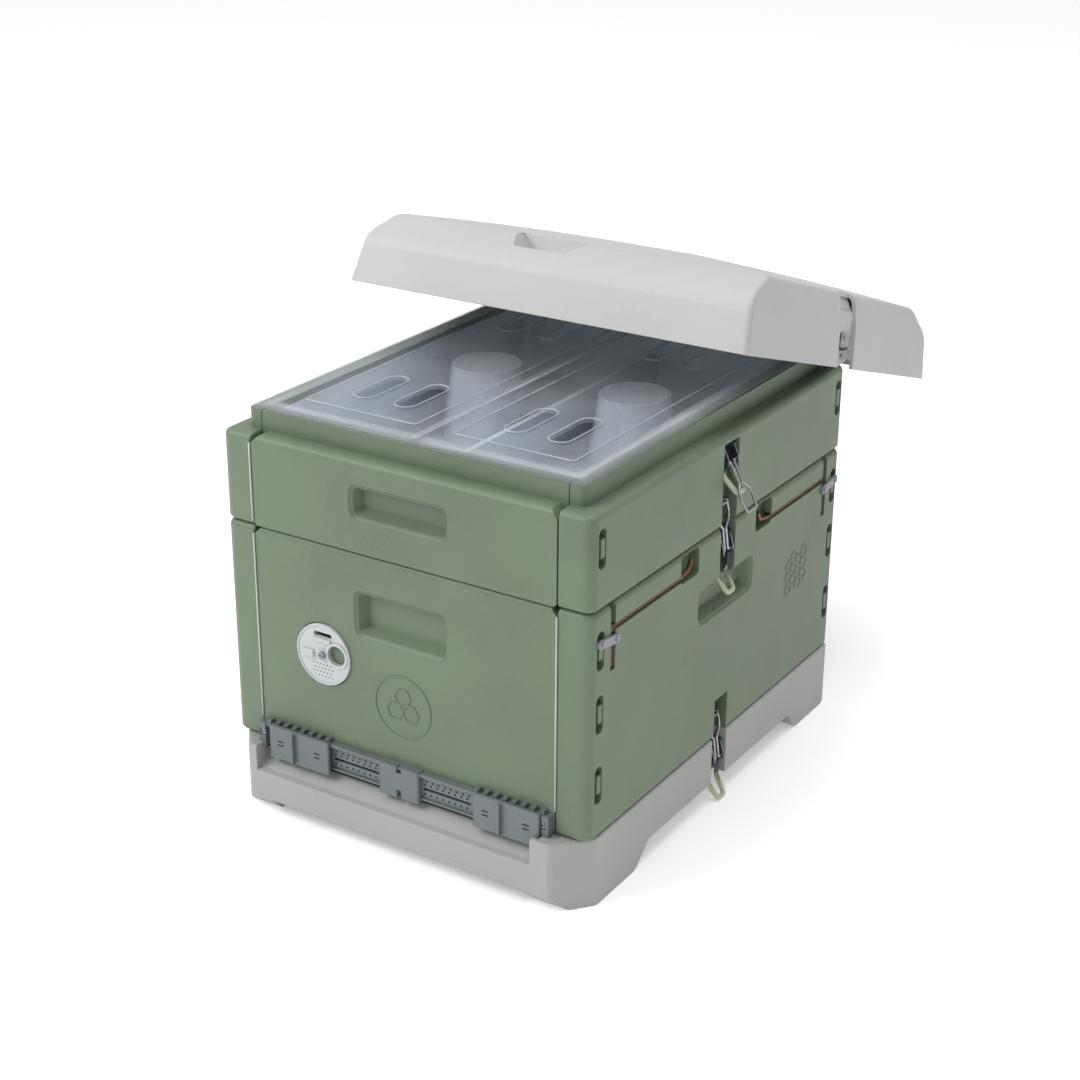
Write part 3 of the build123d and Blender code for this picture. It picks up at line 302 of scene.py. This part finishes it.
MATERIALS = {
    "sage_plastic": moulded("sage_moulding", SAGE, 0.85, 0.47, relief=16.0),
    "roof_plastic": moulded("roof_moulding", ROOF_GREY, 0.95, 0.46, edge=0.0015),
    "base_plastic": moulded("base_moulding", BASE_GREY, 0.94, 0.52, edge=0.0012),
    "rail_plastic": moulded("rail_moulding", RAIL_GREY, 0.88, 0.40, edge=0.0003),
    "disc_plastic": moulded("disc_moulding", DISC_GREY, 0.94, 0.36, edge=0.0003),
    "clip_plastic": moulded("clip_moulding", CLIP_GREY, 0.9, 0.38, edge=0.0003),
    "clear_plastic": frosted("cover_sheet", FROSTED, 0.10, 0.14),
    "feeder_plastic": frosted("feeder_moulding", FROSTED, 0.90, 0.28),
    "lining_foam": foam(),
    "zinc_steel": metal("zinc_plate", ZINC, 0.30),
    "wire_steel": metal("bright_wire", WIRE, 0.16, scratch=EVEN_SCRATCH, spangle=0.2),
    "screen_steel": screen_sheet(),
    "frame_wood": pine(),
    "comb_wax": comb(),
}
VINYL = moulded("vinyl_grip", VINYL_GREEN, 0.85, 0.34, grain=500.0, edge=0.0003)

ARM_COATING = metal("coated_rod", RUST_STEEL, 0.38, scratch=EVEN_SCRATCH, spangle=0.4)
# material of the pale strips: painted highlight of a lit chamfer edge, partly pale edge wear
HIGHLIGHT_AND_WEAR = moulded("highlight_and_wear_strip", HIGHLIGHT_AND_WEAR_GREY, 0.9, 0.45, edge=0.0003)

CUP = frosted("clear_cup", CUP_TINT, 0.34, 0.14)
# shared by the moulded cover lines and the painted highlight rings on the cup tops
LINE_AND_HIGHLIGHT = frosted("clear_line_and_highlight", LINE_AND_HIGHLIGHT_TINT, 0.42, 0.20)
HAZE = frosted("hazy_edge", HAZE_TINT, 0.26, 0.24)
OWN_MATERIAL = {
    "arm_front_right": ARM_COATING, "arm_front_left": ARM_COATING,
    "arm_back_right": ARM_COATING, "arm_back_left": ARM_COATING,
    "feeder_cups": CUP,
}

for part in frame["record"]["subparts"]:
    shape = nodes[part["node"]]
    shape.data.materials.clear()
    shape.data.materials.append(OWN_MATERIAL.get(part["node"], MATERIALS[part["material_slot"]]))


# ================================================================================================
# Added pieces
# ================================================================================================
def add_mesh(name, mesh, body, material):
    """Puts a finished bmesh in the scene, riding on a body."""
    data = bpy.data.meshes.new(name)
    mesh.to_mesh(data)
    mesh.free()
    data.materials.append(material)
    piece = bpy.data.objects.new(name, data)
    bpy.context.scene.collection.objects.link(piece)
    for face in data.polygons:
        face.use_smooth = True
    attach(piece, body)


def rounded(points, radius, steps):
    """A run of points with each inner corner taken round by an arc of short steps."""
    made = [points[0]]
    for before, corner, after in zip(points, points[1:], points[2:]):
        back = (before - corner).normalized()
        on = (after - corner).normalized()
        reach = min(radius, (before - corner).length * 0.49, (after - corner).length * 0.49)
        start, end = corner + back * reach, corner + on * reach
        for step in range(steps + 1):
            t = step / steps
            made.append(start * (1 - t) ** 2 + corner * 2 * t * (1 - t) + end * t ** 2)
    made.append(points[-1])
    return made


def tube(points, radius, sides=14):
    """A round tube along points, closed with domed ends."""
    mesh = bmesh.new()
    line = [points[0] - (points[1] - points[0]).normalized() * radius * DOME_LENGTH, *points,
            points[-1] + (points[-1] - points[-2]).normalized() * radius * DOME_LENGTH]
    radii = [radius * DOME_WIDTH] + [radius] * len(points) + [radius * DOME_WIDTH]
    across = None
    rings = []
    for index, point in enumerate(line):
        ahead = line[min(index + 1, len(line) - 1)] - line[max(index - 1, 0)]
        ahead.normalize()
        if across is None:
            across = ahead.orthogonal().normalized()
        across = (across - ahead * across.dot(ahead)).normalized()
        other = ahead.cross(across)
        rings.append([mesh.verts.new(point + (across * math.cos(a) + other * math.sin(a)) * radii[index])
                      for a in (2 * math.pi * k / sides for k in range(sides))])
    for first, second in zip(rings, rings[1:]):
        for k in range(sides):
            mesh.faces.new((first[k], first[(k + 1) % sides], second[(k + 1) % sides], second[k]))
    mesh.faces.new(reversed(rings[0]))
    mesh.faces.new(rings[-1])
    bmesh.ops.recalc_face_normals(mesh, faces=mesh.faces)
    return mesh


def vinyl_sleeve(side, box, reach, lean, covered):
    """Soft vinyl sleeve pulled over the looped grip at a lever's end."""
    outward = 1 if side == "right" else -1
    lever = f"{box}_lever_{side}"
    pivot = Vector((PIVOT_OUT, 0.0, JOINT_LINES[box] - PIVOT_DROP))
    elbow = SLEEVE_RISE - reach
    wide, narrow = SLEEVE_HALF_WIDE, SLEEVE_HALF_NARROW
    corners = [(0.0, -wide, elbow + covered), (0.0, -wide, elbow), (GRIP_OUT, -narrow, -reach),
               (GRIP_OUT, narrow, -reach), (0.0, wide, elbow), (0.0, wide, elbow + covered)]
    hang = Matrix.Rotation(math.radians(-lean), 3, "Y")
    line = []
    for corner in corners:
        place = pivot + hang @ Vector(corner)
        line.append(Vector((place.x * outward, place.y, place.z)) * MM)
    line = rounded(line, SLEEVE_BEND * MM, 6)
    add_mesh(f"{box}_grip_{side}", tube(line, SLEEVE_R * MM), lever, VINYL)


for side in ("right", "left"):
    vinyl_sleeve(side, "base", reach=58.0, lean=0.0, covered=1.0)
    vinyl_sleeve(side, "brood", reach=58.0, lean=0.0, covered=1.0)
    vinyl_sleeve(side, "top", reach=46.0, lean=8.0, covered=4.0)


def highlight_and_wear_strip(name, body, x, low, high):
    """Thin pale strip in the line between a corner post and the front panel: painted highlight of a lit
    chamfer edge, partly a pale worn edge.
    """
    mesh = bmesh.new()
    bmesh.ops.create_cube(mesh, size=1.0)
    for vertex in mesh.verts:
        vertex.co = Vector((x + vertex.co.x * STRIP_WIDTH, FRONT + vertex.co.y * STRIP_DEPTH,
                            (low + high) / 2 + vertex.co.z * (high - low))) * MM
    add_mesh(name, mesh, body, HIGHLIGHT_AND_WEAR)


highlight_and_wear_strip("brood_strip_left", "brood_box", -POST_LINE, low=104.0, high=313.0)
highlight_and_wear_strip("brood_strip_right", "brood_box", POST_LINE, low=104.0, high=313.0)
highlight_and_wear_strip("top_strip_left", "top_box", -POST_LINE, low=327.0, high=411.0)


def oval(x, y, z, half_length, radius, steps=10):
    """Points once round a flat oval with straight sides along Y."""
    points = []
    for turn in range(2 * steps + 3):
        half = turn // (steps + 1)
        angle = math.pi * (turn - half) / steps
        side = 1 if half % 2 == 0 else -1
        along = y + side * half_length + radius * math.sin(angle)
        points.append(Vector((x + radius * math.cos(angle), along, z)) * MM)
    return points


def frame_line(x0, x1, y0, y1, z):
    """Points once round a rectangle with rounded corners."""
    middle = (x0 + x1) / 2
    corners = [(middle, y0), (x1, y0), (x1, y1), (x0, y1), (x0, y0), (middle, y0)]
    return rounded([Vector((x, y, z)) * MM for x, y in corners], 5 * MM, 5)


def border(half_x, half_y, width, z0, z1):
    """Flat band round the edge of a sheet."""
    mesh = bmesh.new()
    rings = []
    for inset, z in ((0, z0), (0, z1), (width, z1), (width, z0)):
        corners = ((-1, -1), (1, -1), (1, 1), (-1, 1))
        rings.append([mesh.verts.new(Vector((i * (half_x - inset), j * (half_y - inset), z)) * MM)
                      for i, j in corners])
    for first, second in zip(rings, rings[1:] + rings[:1]):
        for k in range(4):
            mesh.faces.new((first[k], first[(k + 1) % 4], second[(k + 1) % 4], second[k]))
    bmesh.ops.recalc_face_normals(mesh, faces=mesh.faces)
    return mesh


for row, y in enumerate(SLOT_ROWS):
    for column, x in enumerate(SLOT_COLUMNS):
        line = oval(x, y, COVER_TOP + 1.7, half_length=26.5, radius=12.4)
        add_mesh(f"slot_rim_{row}_{column}", tube(line, LINE_R * MM, 8), "cover", LINE_AND_HIGHLIGHT)
for side, x0, x1 in (("left", -PANEL_OUTER, -PANEL_INNER), ("right", PANEL_INNER, PANEL_OUTER)):
    line = frame_line(x0, x1, -PANEL_HALF_LENGTH, PANEL_HALF_LENGTH, COVER_TOP + 1.4)
    add_mesh(f"panel_rim_{side}", tube(line, LINE_R * MM, 8), "cover", LINE_AND_HIGHLIGHT)
ridge = border(half_x=5.0, half_y=243.0, width=4.9, z0=COVER_TOP + 2.65, z1=COVER_TOP + 2.85)
add_mesh("ridge_band", ridge, "cover", HAZE)
edge = border(half_x=198.0, half_y=248.0, width=22.0, z0=COVER_TOP + 0.05, z1=COVER_TOP + 0.25)
add_mesh("cover_border", edge, "cover", HAZE)
# whitish rings on the cups' top edges: painted highlights of the lit rims
for side, x in (("left", -CUP_X), ("right", CUP_X)):
    line = oval(x, CUP_Y, CUP_TOP, half_length=0.0, radius=CUP_HIGHLIGHT_TURN, steps=18)
    add_mesh(f"cup_highlight_{side}", tube(line, CUP_HIGHLIGHT_R * MM, 8), "feeder", LINE_AND_HIGHLIGHT)


# ================================================================================================
# Stage, light and camera
# ================================================================================================
def floor():
    data = bpy.data.meshes.new("floor")
    reach = 12.0
    corners = [(-reach, -reach, 0), (reach, -reach, 0), (reach, reach, 0), (-reach, reach, 0)]
    data.from_pydata(corners, [], [(0, 1, 2, 3)])
    material = bpy.data.materials.new("pale_floor")
    material.use_nodes = True
    shader = material.node_tree.nodes["Principled BSDF"]
    shader.inputs["Base Color"].default_value = (0.92, 0.92, 0.92, 1)
    shader.inputs["Roughness"].default_value = 0.9
    shader.inputs["Emission Color"].default_value = (1, 1, 1, 1)
    shader.inputs["Emission Strength"].default_value = FLOOR_GLOW
    data.materials.append(material)
    piece = bpy.data.objects.new("floor", data)
    bpy.context.scene.collection.objects.link(piece)


def area_light(name, place, target, size, power, colour=(1.0, 1.0, 1.0)):
    data = bpy.data.lights.new(name, "AREA")
    data.shape = "DISK"
    data.size = size
    data.energy = power
    data.color = colour
    lamp = bpy.data.objects.new(name, data)
    lamp.location = place
    lamp.rotation_euler = (Vector(target) - Vector(place)).to_track_quat("-Z", "Y").to_euler()
    bpy.context.scene.collection.objects.link(lamp)


def camera():
    place = Vector((1.09335, -1.72935, 1.12602))
    ahead = Vector((-0.49425, 0.77536, -0.39312))
    roll = math.radians(-0.33)
    data = bpy.data.cameras.new("camera")
    data.sensor_width = 36.0
    data.lens = 68.07
    seen_from = bpy.data.objects.new("camera", data)
    turn = ahead.to_track_quat("-Z", "Y").to_matrix() @ Matrix.Rotation(-roll, 3, "Z")
    seen_from.matrix_world = Matrix.Translation(place) @ turn.to_4x4()
    bpy.context.scene.collection.objects.link(seen_from)
    bpy.context.scene.camera = seen_from


floor()
camera()
area_light("key", (-1.9, -2.3, 2.9), (0, 0, 0.25), 2.2, 92)
area_light("top", (0.2, 0.4, 3.4), (0, 0, 0.3), 2.6, 50)
world = bpy.data.worlds.new("studio")
world.use_nodes = True
studio = world.node_tree
studio.nodes["Background"].inputs["Color"].default_value = (1.0, 1.0, 1.0, 1.0)
studio.nodes["Background"].inputs["Strength"].default_value = 0.70
bpy.context.scene.world = world
bpy.context.scene.view_settings.view_transform = "Standard"
